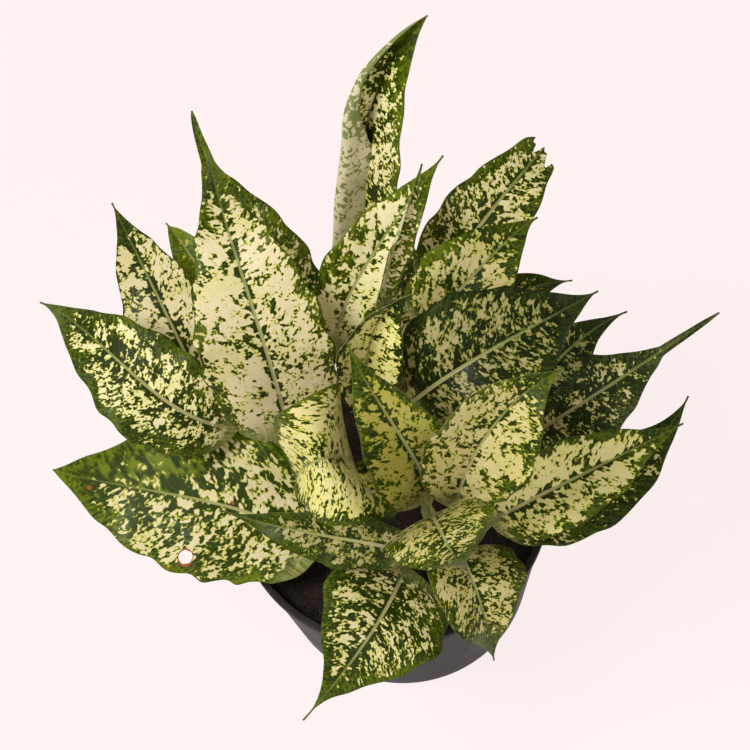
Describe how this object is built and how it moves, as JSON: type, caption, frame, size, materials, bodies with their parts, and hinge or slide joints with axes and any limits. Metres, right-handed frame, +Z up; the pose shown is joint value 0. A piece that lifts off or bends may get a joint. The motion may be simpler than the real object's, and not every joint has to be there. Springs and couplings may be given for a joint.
{
  "type": "potted chinese evergreen",
  "caption": "Leafy houseplant in a round tapered plastic pot: long pointed cream and green leaves on curved stalks, from short canes standing in peat.",
  "frame": {"origin": "middle of the pot's flat underside", "axes": "+Z up along the pot's axis, +X to the right and -Y towards the viewer of the picture"},
  "size_m": [0.3598, 0.3058, 0.3387],
  "materials": {
    "pot_plastic": "matte",
    "peat": "rough, crumbly",
    "cane": "satin",
    "leaf": "satin"
  },
  "bodies": {
    "root": {"pot": "pot_plastic", "soil": "peat", "cane_front": "cane", "cane_left": "cane", "cane_back_left": "cane", "cane_middle": "cane", "cane_right": "cane", "cane_back": "cane", "leaf_front_1": "leaf", "leaf_front_2": "leaf", "leaf_front_3": "leaf", "leaf_front_4": "leaf", "leaf_front_5": "leaf", "leaf_front_6": "leaf", "leaf_front_7": "leaf", "leaf_front_8": "leaf", "leaf_front_9": "leaf", "leaf_left_1": "leaf", "leaf_left_2": "leaf", "leaf_left_3": "leaf", "leaf_back_left_1": "leaf", "leaf_back_left_2": "leaf", "leaf_back_left_3": "leaf", "leaf_middle_1": "leaf", "leaf_middle_2": "leaf", "leaf_middle_3": "leaf", "leaf_middle_4": "leaf", "leaf_back_1": "leaf", "leaf_back_2": "leaf", "leaf_back_3": "leaf", "leaf_back_4": "leaf", "leaf_back_5": "leaf", "leaf_right_1": "leaf", "leaf_right_2": "leaf", "leaf_right_3": "leaf", "leaf_right_4": "leaf"}
  },
  "joints": []
}
